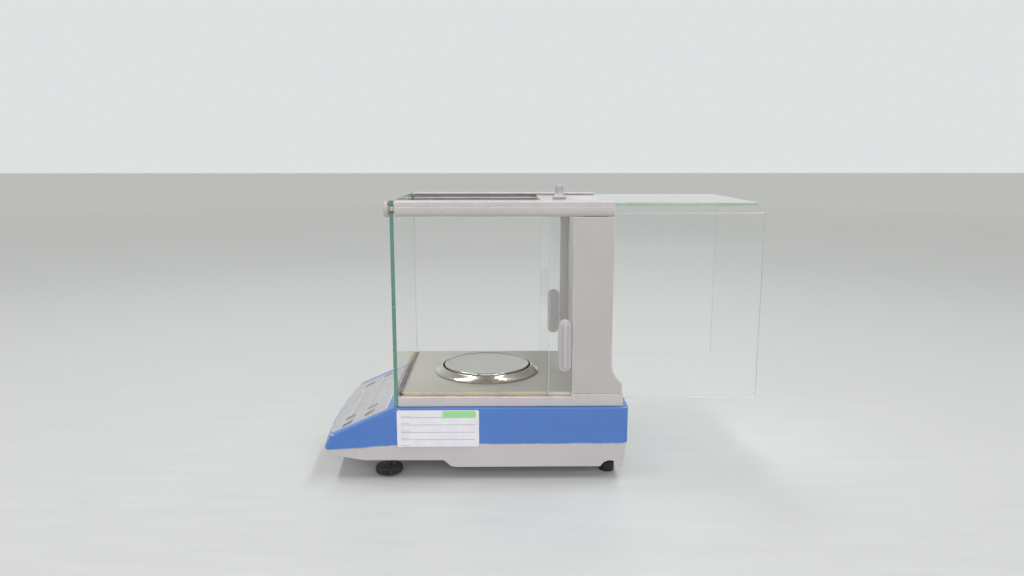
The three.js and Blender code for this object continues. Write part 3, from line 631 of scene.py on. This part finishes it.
def moulded_looks():
    """Plastic and painted slots, each with a lighter edge finish where its edges show: painted highlight,
    with pale patches of painted glint and wear.
    """
    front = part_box("floor_plate")[0].y
    # Second colours are lighter edge copies (painted highlight); third colours are pale patches (painted
    # glints with wear).
    blue, blue_edge, blue_glint_and_wear = srgb(75, 120, 194), srgb(112, 148, 214), srgb(214, 224, 244)
    pale, pale_edge, pale_glint_and_wear = srgb(197, 191, 193), srgb(206, 198, 194), srgb(222, 212, 200)
    frame_grey, frame_edge, frame_glint_and_wear = srgb(198, 191, 193), srgb(206, 194, 176), srgb(232, 216, 190)
    paint, paint_edge, paint_glint_and_wear = srgb(186, 181, 180), srgb(198, 193, 191), srgb(222, 218, 214)
    rail, rail_edge, rail_glint_and_wear = srgb(196, 190, 191), srgb(210, 206, 206), srgb(232, 229, 229)
    fold, fold_glint_and_wear = srgb(176, 166, 148), srgb(214, 196, 164)
    coated = dict(grain=0.35, dust=0.08)
    return {
        "blue_plastic": worn_and_highlighted("Blue moulding", blue, blue_edge, blue_glint_and_wear, 0.36, coat=0.15, mottle=0.07),
        "grey_plastic": worn_and_highlighted("Grey moulding", pale, pale_edge, pale_glint_and_wear, 0.44),
        "frame_moulding": worn_and_highlighted("Frame moulding", frame_grey, frame_edge, frame_glint_and_wear, 0.42,
                               dust=0.6, front=front),
        "frame_paint": worn_and_highlighted("Frame paint", paint, paint_edge, paint_glint_and_wear, 0.40, **coated),
        # the rail's downward faces get painted shade
        "rail_paint": worn_and_highlighted("Rail paint", rail, rail_edge, rail_glint_and_wear, 0.30,
                           coat=0.2, peel=0.8, under=0.6, **coated),
        "floor_paint": [floor_finish("Floor paint", front),
                        moulding("Floor paint, rubbed edge", fold, 0.3, glint_and_wear=fold_glint_and_wear)],
        "handle_plastic": [moulding("Handle plastic", srgb(186, 182, 184), 0.34, grain=0.12, coat=0.2)],
        "knob_plastic": [moulding("Knob plastic", srgb(184, 178, 178), 0.36, grain=0.2)],
    }


def keypad_looks():
    """Printed films, the window and the display under it."""
    marks = printed_marks()
    # a lighter cut edge with pale patches: painted highlight and wear
    cut, cut_glint_and_wear = srgb(214, 214, 220), srgb(232, 232, 236)
    return {
        "keypad_film": [keypad_film("Keypad film", marks),
                        moulding("Keypad film, cut edge", cut, 0.4, glint_and_wear=cut_glint_and_wear)],
        "key_film": [keypad_film("Key film", marks)],
        "display_plastic": [window_film("Display window")],
        "lcd": [moulding("Liquid crystal glass", srgb(180, 180, 178), 0.2, grain=0.05, dust=0.0)],
    }


def metal_looks():
    """Bare and plated metals and the coil's wire."""
    pan = middle("weighing_pan")
    return {
        "polished_steel": [polished("Polished steel, turned", srgb(192, 190, 183), 0.09, pan, dents=0.05)],
        "cast_aluminium": [polished("Cast aluminium", srgb(196, 196, 196), 0.38)],
        "magnet_iron": [polished("Plated iron", srgb(170, 172, 176), 0.3)],
        "screw_steel": [polished("Zinc plated screw", srgb(186, 188, 184), 0.28)],
        "socket_shell": [polished("Nickel shell", srgb(206, 202, 190), 0.2)],
        "copper_wire": [winding("Coil winding")],
    }


def other_looks():
    """Glass, rubber, boards, the label and the level's liquid."""
    return {
        "clear_glass": [pane_glass("Clear glass", (0.985, 0.994, 0.990, 1))],
        "bush_elastomer": [elastomer("Aged elastomer")],
        "foot_plastic": [rubber("Black plastic", (0.014, 0.014, 0.015, 1), 0.42, 0.5)],
        "foot_rubber": [rubber("Foot rubber")],
        "socket_plastic": [rubber("Socket plastic", (0.018, 0.018, 0.018, 1), 0.38)],
        "circuit_board": [circuit("Circuit board")],
        "label_paper": [sticker("Service label", *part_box("service_label"))],
        "vial_fluid": [spirit("Spirit level fluid")],
    }


LOOKS = {**moulded_looks(), **keypad_looks(), **metal_looks(), **other_looks()}


def look(node):
    """The materials of a CAD node's slot."""
    return LOOKS[SLOT_OF[node]]


# ---------------------------------------------------------------- housings, frame and cell
def mouldings():
    """Housings, floor and the shield's frame."""
    refined("upper_housing", look("upper_housing"), 0.6 * MM, 3)
    refined("lower_housing", look("lower_housing"), 0.5 * MM, 3)
    refined("shield_base", look("shield_base"), 0.5 * MM, 3)
    refined("floor_plate", look("floor_plate"), 0.5 * MM, 3)
    refined("rear_wall", look("rear_wall"), 0.4 * MM)
    refined("cross_bar", look("cross_bar"), 0.5 * MM)
    for side in SIDES:
        refined(side + "_rail", look(side + "_rail"), 0.35 * MM, 3)
        refined(side + "_pillar", look(side + "_pillar"), 0.6 * MM, 3)


def keypad():
    """Panel, window, display and keys."""
    refined("keypad_panel", look("keypad_panel"), 0.35 * MM)
    refined("display_window", look("display_window"), 0.2 * MM)
    refined("lcd_module", look("lcd_module"), 0.2 * MM)
    for node in ("key_print", "key_tare", "key_menu", "key_power"):
        refined(node, look(node), 0.35 * MM, 3)


SMALL_SLOTS = ("cast_aluminium", "circuit_board", "magnet_iron", "copper_wire", "socket_plastic",
               "socket_shell", "screw_steel")


def small_parts():
    """The weighing cell, boards, sockets, screws, hook cover and label."""
    for node, slot_name in SLOT_OF.items():
        if slot_name in SMALL_SLOTS and node != "pan_support":
            refined(node, LOOKS[slot_name], 0.25 * MM)
    refined("hook_cover", look("hook_cover"), 0.4 * MM)
    refined("hook_cover_pin", look("hook_cover_pin"), 0.2 * MM)
    refined("service_label", look("service_label"), 0.06 * MM)


SEAL_STEPS = 60  # along the seal's length


def front_seal():
    """Dark brown strip with a rounded top that fills the slot between the front pane and the floor plate."""
    plate_low, plate_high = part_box("floor_plate")
    rear = plate_low.y - 0.1 * MM
    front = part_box("shield_base")[0].y + 0.1 * MM
    base, top = plate_low.z - 0.2 * MM, plate_high.z - 0.2 * MM
    half, centre = (rear - front) / 2, (rear + front) / 2
    arch = [(centre + half * math.cos(turn), top - half * (1 - math.sin(turn)))
            for turn in evenly(0, math.pi, 8)]
    profile = [(rear, base)] + arch + [(front, base)]
    start, length = plate_low.x + 1 * MM, plate_high.x - plate_low.x - 2 * MM
    work = bmesh.new()
    rings = []
    for i in range(SEAL_STEPS + 1):
        x = start + length * i / SEAL_STEPS
        sag = 0.25 * MM * math.sin(i * 0.9) * math.sin(i * 0.37)
        rings.append([work.verts.new((x, y, z + (sag if z > base else 0))) for y, z in profile])
    closed_bands(work, rings)
    work.faces.new(rings[0])
    work.faces.new(rings[-1])
    # a dark brown strip where the front pane meets the floor
    dirt = rubber("Brown seal", srgb(88, 76, 58), 0.6, 0.3)
    added("front_seal", finished(work, "front_seal"), [dirt], "shield_base", "foot_rubber")


# ---------------------------------------------------------------- glass
def pane(node, edge):
    """A pane of flat glass: clear faces, ground green edges."""
    low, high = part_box(node)
    size = high - low
    thin = min(range(3), key=lambda axis: size[axis])
    obj = refined(node, look(node) + [edge], 0.35 * MM)
    for face in obj.data.polygons:
        face.material_index = 0 if abs(face.normal[thin]) > 0.9 else 1


def panes():
    """The front pane and the three doors, each with its own edge green."""
    teal = glass_edge("Glass edge, thick pane", srgb(90, 140, 124), srgb(118, 162, 146))
    green = glass_edge("Glass edge, top door", srgb(160, 184, 161), srgb(184, 204, 184))
    faint = glass_edge("Glass edge, side doors", srgb(188, 200, 184), srgb(214, 222, 208))
    pane("front_glass", teal)
    pane("top_door_glass", green)
    for side in SIDES:
        pane(side + "_door_glass", faint)


# ---------------------------------------------------------------- turned pieces
def turned(node, outline, segments, rounding=0.3 * MM, lying=False):
    """Stands a rounded turned piece in a CAD node's place; lying pieces turn about Y instead of Z."""
    name = node + "_turned"
    mesh = lathe_mesh(name, rounded_profile(outline, rounding), segments)
    centre = middle(node)
    if lying:
        shifted(mesh, centre.x, 0, centre.z, lying)
    else:
        shifted(mesh, centre.x, centre.y)
    return placed(name, mesh, look(node), node)


def radius_of(node):
    """Half the width of a CAD node's box."""
    low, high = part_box(node)
    return (high.x - low.x) / 2


def weighing_pan():
    """Flat dish with a rolled rim and a short skirt."""
    low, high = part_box("weighing_pan")
    rim, top = radius_of("weighing_pan"), high.z
    dish, skirt = top - 0.6 * MM, rim - 2.0 * MM
    outline = [
        (0, top - 1.5 * MM), (skirt, top - 1.5 * MM), (skirt, low.z), (rim - 1.1 * MM, low.z),
        (rim, top - 2.0 * MM), (rim - 0.3 * MM, dish), (rim - 1.2 * MM, top), (skirt, top),
        (rim - 3.6 * MM, dish), (0, dish),
    ]
    turned("weighing_pan", outline, 180, 0.8 * MM)


def draft_ring():
    """Sloping ring with an undercut lip, polished outside, with painted shade in its bore."""
    low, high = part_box("draft_ring")
    outer, base, top = radius_of("draft_ring"), low.z, high.z
    bore, lip = outer - 9.6 * MM, outer - 1.3 * MM
    outline = [
        (bore, base), (lip, base), (lip + 0.1 * MM, base + 0.4 * MM), (outer, base + 0.5 * MM),
        (outer, base + 0.8 * MM), (lip, base + 1.3 * MM), (outer - 3.2 * MM, base + 2.5 * MM),
        (outer - 5.0 * MM, base + 4.1 * MM), (bore + 3.0 * MM, top - 1.3 * MM),
        (bore + 1.9 * MM, top - 0.15 * MM), (bore + 0.9 * MM, top), (bore, top - 0.6 * MM), (bore, base),
    ]
    axis = middle("draft_ring")
    ring = turned("draft_ring", outline, 180, 0.9 * MM)
    dressed(ring, [polished("Polished steel, ring", srgb(216, 213, 205), 0.14, axis, dents=0.4),
                   rubber("Painted shade in the ring's bore", srgb(30, 28, 26))])
    # painted shade: faces near the bore get a near-black material
    for face in ring.data.polygons:
        if math.hypot(face.center.x - axis.x, face.center.y - axis.y) < bore + 0.6 * MM:
            face.material_index = 1


def pan_support():
    """Thin plate under the pan on a bored hub."""
    low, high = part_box("pan_support")
    plate, hub, bore = radius_of("pan_support"), 8 * MM, 4.4 * MM
    bore_top, web, plate_base = high.z - 4.2 * MM, high.z - 2.5 * MM, high.z - 1.9 * MM
    outline = [
        (0, bore_top), (bore, bore_top), (bore, low.z), (hub, low.z), (hub, web), (plate, plate_base),
        (plate, high.z), (0, high.z),
    ]
    turned("pan_support", outline, 72)


def knob(side):
    """Round-faced screw head with a shallow dished front, a neck and a stem."""
    node = side + "_knob"
    low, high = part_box(node)
    r, face = radius_of(node), low.y
    neck, stem = 4.6 * MM, 1.9 * MM
    back, neck_end = face + 4.7 * MM, face + 5.7 * MM
    outline = [
        (0, face + 0.5 * MM), (r - 4.0 * MM, face + 0.5 * MM), (r - 2.8 * MM, face),
        (r - 1.6 * MM, face + 0.2 * MM), (r - 0.4 * MM, face + 1.0 * MM), (r, face + 2.2 * MM),
        (r, face + 3.8 * MM), (r - 0.7 * MM, back), (neck, back), (neck, neck_end), (stem, neck_end),
        (stem, high.y), (0, high.y),
    ]
    turned(node, outline, 96, 0.5 * MM, lying=True)


def glass_bush(side):
    """Flanged sleeve around the knob's stem; its waist is as long as the front pane is thick."""
    node = side + "_glass_bush"
    low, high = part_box(node)
    flange, waist, bore = radius_of(node), 3.6 * MM, 2.3 * MM
    step = low.y + 4.1 * MM
    outline = [
        (bore, low.y), (waist, low.y), (waist, step), (flange, step), (flange, high.y), (bore, high.y),
        (bore, low.y),
    ]
    turned(node, outline, 56, 0.4 * MM, lying=True)


def top_handle():
    """Waisted grip on a round foot."""
    low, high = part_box("top_door_handle")
    r, base, top = radius_of("top_door_handle"), low.z, high.z
    waist = r - 3.1 * MM
    outline = [
        (0, base), (r, base), (r, base + 1.4 * MM), (r - 1.0 * MM, base + 2.3 * MM),
        (r - 2.9 * MM, base + 4.2 * MM), (waist, base + 7.0 * MM), (r - 2.7 * MM, top - 2.4 * MM),
        (waist, top - 0.8 * MM), (r - 4.4 * MM, top), (0, top),
    ]
    turned("top_door_handle", outline, 80, 1.1 * MM)


# ---------------------------------------------------------------- feet
KNURLS = 38
PITCH = 1.25 * MM
STEM = 4 * MM  # radius
HAIR = 0.001 * MM  # radii closer than this are the same


def levelling_foot(side):
    """Knurled wheel on a threaded stem."""
    node = side + "_foot_screw"
    low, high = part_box(node)
    wheel, base, shoulder = radius_of(node), low.z, low.z + 7.3 * MM
    rim_base, rim_height, rim_steps = base + 1.2 * MM, 4.9 * MM, 6
    rows = [(0, base), (wheel - 2.2 * MM, base), (wheel - 1.2 * MM, base + 0.3 * MM)]
    rows += [(wheel, rim_base + rim_height * i / rim_steps) for i in range(rim_steps + 1)]
    rows += [(wheel - 1.2 * MM, shoulder - 0.3 * MM), (wheel - 2.2 * MM, shoulder), (STEM, shoulder)]
    steps = round((high.z - shoulder) / PITCH * 8)
    rows += [(STEM, shoulder + (high.z - shoulder) * i / steps) for i in range(1, steps + 1)]
    rows += [(0, high.z)]

    def grip(row, turn):
        radius, height = rows[row]
        if radius >= wheel - HAIR:
            return -1.5 * MM * (0.5 + 0.5 * math.cos(KNURLS * turn)) ** 1.5
        if abs(radius - STEM) < HAIR and height > shoulder:
            phase = (height / PITCH - turn / math.tau) % 1.0
            return -0.6 * MM * abs(2 * phase - 1)
        return 0.0

    mesh = lathe_mesh(node + "_turned", rows, KNURLS * 6, grip)
    shifted(mesh, middle(node).x, middle(node).y)
    placed(node + "_turned", mesh, look(node), node)


def foot_pad(side):
    """Disc with two ring grooves in its underside."""
    node = side + "_foot_pad"
    low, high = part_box(node)
    r = radius_of(node)
    half_groove = 0.6 * MM
    outline = [(0, low.z)]
    for centre in (0.4 * r, 0.65 * r):
        inner, outer, roof = centre - half_groove, centre + half_groove, low.z + 0.5 * MM
        outline += [(inner, low.z), (inner, roof), (outer, roof), (outer, low.z)]
    outline += [(r - 0.6 * MM, low.z), (r, low.z + 0.7 * MM), (r, high.z), (0, high.z)]
    turned(node, outline, 64, 0.15 * MM)


def rear_foot(side):
    """Plain rubber foot with a shallow ring groove and a stub."""
    node = side + "_rear_foot"
    low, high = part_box(node)
    r, base, stub = radius_of(node), low.z, 5 * MM
    outline = [
        (0, base), (r - 1.0 * MM, base), (r, base + 1.0 * MM), (r, base + 4 * MM),
        (r - 0.5 * MM, base + 4.5 * MM), (r, base + 5 * MM), (r, base + 11.3 * MM), (stub, base + 13 * MM),
        (stub, high.z), (0, high.z),
    ]
    turned(node, outline, 64, 0.5 * MM)


# ---------------------------------------------------------------- spirit level
def level_holder():
    """Round cup for the vial."""
    low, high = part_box("level_holder")
    r, base, top = radius_of("level_holder"), low.z, high.z
    well, floor = 7.6 * MM, low.z + 2.5 * MM
    outline = [
        (0, base), (r, base), (r, top - 0.6 * MM), (r - 0.5 * MM, top), (well, top), (well, floor),
        (0, floor),
    ]
    turned("level_holder", outline, 72)


def level_vial():
    """Domed vial with a printed ring and a bubble a little off its centre."""
    low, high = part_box("level_vial")
    r, base, top = radius_of("level_vial"), low.z, high.z
    rise = 1.4 * MM
    turns = [math.radians(degrees) for degrees in range(0, 90, 10)]
    dome = [(r * math.cos(turn), top - rise + rise * math.sin(turn)) for turn in turns]
    turned("level_vial", [(0, base), (r, base)] + dome + [(0, top)], 72, 0.1 * MM)
    centre = middle("level_vial")
    inner, outer, under, over = 2.9 * MM, 3.2 * MM, top - 0.30 * MM, top - 0.12 * MM
    ring = [(inner, under), (outer, under), (outer, over), (inner, over), (inner, under)]
    mesh = lathe_mesh("level_ring", ring, 64)
    shifted(mesh, centre.x, centre.y)
    added("level_ring", mesh, [rubber("Level ring ink", roughness=0.4)], "level_vial", "foot_plastic")
    bubble = [
        (0, top - 1.6 * MM), (1.8 * MM, top - 1.2 * MM), (2.3 * MM, top - 0.7 * MM),
        (1.8 * MM, top - 0.25 * MM), (0, top - 0.1 * MM),
    ]
    mesh = lathe_mesh("level_bubble", rounded_profile(bubble, 0.5 * MM), 48)
    shifted(mesh, centre.x + 0.4 * MM, centre.y - 0.3 * MM)
    added("level_bubble", mesh, [spirit("Level bubble")], "level_vial")


# ---------------------------------------------------------------- side door handles
HANDLE_LEVELS = (  # inset from the base outline and height above the glass, in millimetres
    (0.3, 0.0), (0.0, 0.3), (0.0, 1.3), (0.25, 2.0), (0.8, 2.6), (1.6, 2.95), (2.6, 3.1), (4.0, 3.1),
    (4.5, 3.4), (4.7, 4.2), (4.8, 5.4), (5.1, 6.2), (5.6, 6.6), (6.3, 6.7),
)


def stadium(half_width, half_length, steps=20):
    """Outline of a bar with round ends, as (across, along) points."""
    reach = half_length - half_width
    turns = evenly(0, math.pi, steps)
    upper = [(half_width * math.cos(turn), reach + half_width * math.sin(turn)) for turn in turns]
    return upper + [(-across, -along) for across, along in upper]


def door_handle(side):
    """Oblong grip with a rounded shoulder and a raised finger ridge, as a stack of joined outlines."""
    node = side + "_door_handle"
    low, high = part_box(node)
    centre, size = middle(node), high - low
    outward = 1 if centre.x > 0 else -1
    foot_x = low.x if outward > 0 else high.x
    work = bmesh.new()
    rings = []
    for inset, height in HANDLE_LEVELS:
        x = foot_x + outward * height * MM
        outline = stadium(size.y / 2 - inset * MM, size.z / 2 - inset * MM)
        rings.append([work.verts.new((x, centre.y + across, centre.z + along)) for across, along in outline])
    closed_bands(work, rings)
    work.faces.new(rings[0])
    work.faces.new(rings[-1]).smooth = True
    placed(node + "_grip", finished(work, node + "_grip"), look(node), node)


# ---------------------------------------------------------------- rear sockets
PIN_PITCH = 2.77 * MM
PIN_ROWS = ((5, 1.4), (4, -1.4))  # contacts in a row, and its height in millimetres from the socket's middle


def serial_pins():
    """Two rows of round-ended contacts inside the serial socket."""
    node = "serial_connector"
    centre, floor = middle(node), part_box(node)[1].y - 5.4 * MM
    length, r = 4.2 * MM, 0.5 * MM
    outline = rounded_profile([(0, 0), (r, 0), (r, length - 0.4 * MM), (0, length)], 0.3 * MM)
    for row, (count, height) in enumerate(PIN_ROWS):
        for i in range(count):
            mesh = lathe_mesh("serial_pin", outline, 20)
            x = centre.x + (i - (count - 1) / 2) * PIN_PITCH
            shifted(mesh, x, floor, centre.z + height * MM, lying=True)
            added("serial_pin_%d_%d" % (row + 1, i + 1), mesh, look(node), node)


# ---------------------------------------------------------------- assembly
mouldings()
keypad()
small_parts()
front_seal()
panes()
weighing_pan()
draft_ring()
pan_support()
top_handle()
level_holder()
level_vial()
serial_pins()
for side in SIDES:
    knob(side)
    glass_bush(side)
    levelling_foot(side)
    foot_pad(side)
    rear_foot(side)
    door_handle(side)


# ---------------------------------------------------------------- stage, light and camera
BENCH_REACH = 14.0


def bench():
    """A wide pale surface under the balance; painted light makes it paler far away, where the lamps light it
    less, so that the background stays soft.
    """
    mesh = bpy.data.meshes.new("bench")
    reach = BENCH_REACH
    corners = [(-reach, -reach, 0), (reach, -reach, 0), (reach, reach, 0), (-reach, reach, 0)]
    mesh.from_pydata(corners, [], [(0, 1, 2, 3)])
    obj = bpy.data.objects.new("bench", mesh)
    bpy.context.scene.collection.objects.link(obj)
    s = Shader("Bench")
    brushed = s.noise(60, 4, place=s.stretched((1.0, 0.15, 1.0)))
    near = s.mix(s.ramp(brushed, 0.3, 0.7), srgb(204, 206, 206), srgb(210, 212, 212))
    away = s.ramp(s.vector("LENGTH", s.place, None, "Value"), 1.8, 5.0)
    s.put(base_color=s.mix(away, near, srgb(244, 245, 245)))
    s.put(roughness=s.ramp(brushed, 0.3, 0.7, 0.3, 0.4), normal=s.bump(brushed, 0.05, 0.0002))
    mesh.materials.append(s.material)


def softbox(name, location, aim, size, watts):
    """A rectangular lamp that points at a spot."""
    light = bpy.data.lights.new(name, "AREA")
    light.shape = "RECTANGLE"
    light.size, light.size_y = size
    light.energy = watts
    obj = bpy.data.objects.new(name, light)
    bpy.context.scene.collection.objects.link(obj)
    obj.location = location
    obj.rotation_euler = (Vector(aim) - Vector(location)).to_track_quat("-Z", "Y").to_euler()


def room():
    """Even room light, darker overhead."""
    world = bpy.data.worlds.new("Soft room")
    world.use_nodes = True
    nodes, links = world.node_tree.nodes, world.node_tree.links
    place = nodes.new("ShaderNodeTexCoord")
    split = nodes.new("ShaderNodeSeparateXYZ")
    fade = nodes.new("ShaderNodeMapRange")
    sky = nodes.new("ShaderNodeMix")
    sky.data_type = "RGBA"
    fade.inputs["From Min"].default_value = 0.25
    fade.inputs["From Max"].default_value = 0.9
    sky.inputs["A"].default_value = srgb(222, 226, 226)
    sky.inputs["B"].default_value = srgb(146, 140, 132)
    links.new(place.outputs["Generated"], split.inputs["Vector"])
    links.new(split.outputs["Z"], fade.inputs["Value"])
    links.new(fade.outputs["Result"], sky.inputs["Factor"])
    links.new(sky.outputs["Result"], nodes["Background"].inputs["Color"])
    bpy.context.scene.world = world
    bpy.context.scene.view_settings.view_transform = "Standard"


def lamps():
    """Two long ceiling strips and a broad soft light from the camera's side."""
    softbox("Ceiling strip, front", (0.1, -1.0, 2.1), (0, 0, 0.1), (2.2, 0.18), 20)
    softbox("Ceiling strip, rear", (0.1, 0.8, 2.1), (0, 0, 0.1), (2.2, 0.18), 16)
    softbox("Room fill", (2.3, 0.3, 1.1), (0, 0, 0.15), (2.2, 1.0), 18)


EYE = (0.907012, -0.038317, 0.352042)
EYE_PITCH, EYE_YAW = math.radians(9.76), math.radians(0.76)
FOCAL_LENGTH, FILM_WIDTH = 27.325, 36  # millimetres


def camera():
    """The viewpoint: level from side to side, from the right of the balance and a little above it."""
    pitch, yaw = EYE_PITCH, EYE_YAW
    forward = Vector((-math.cos(yaw) * math.cos(pitch), math.sin(yaw) * math.cos(pitch), -math.sin(pitch)))
    lens = bpy.data.cameras.new("Camera")
    lens.lens = FOCAL_LENGTH
    lens.sensor_width = FILM_WIDTH
    obj = bpy.data.objects.new("Camera", lens)
    bpy.context.scene.collection.objects.link(obj)
    obj.location = EYE
    obj.rotation_euler = forward.to_track_quat("-Z", "Y").to_euler()
    bpy.context.scene.camera = obj


bench()
room()
lamps()
camera()
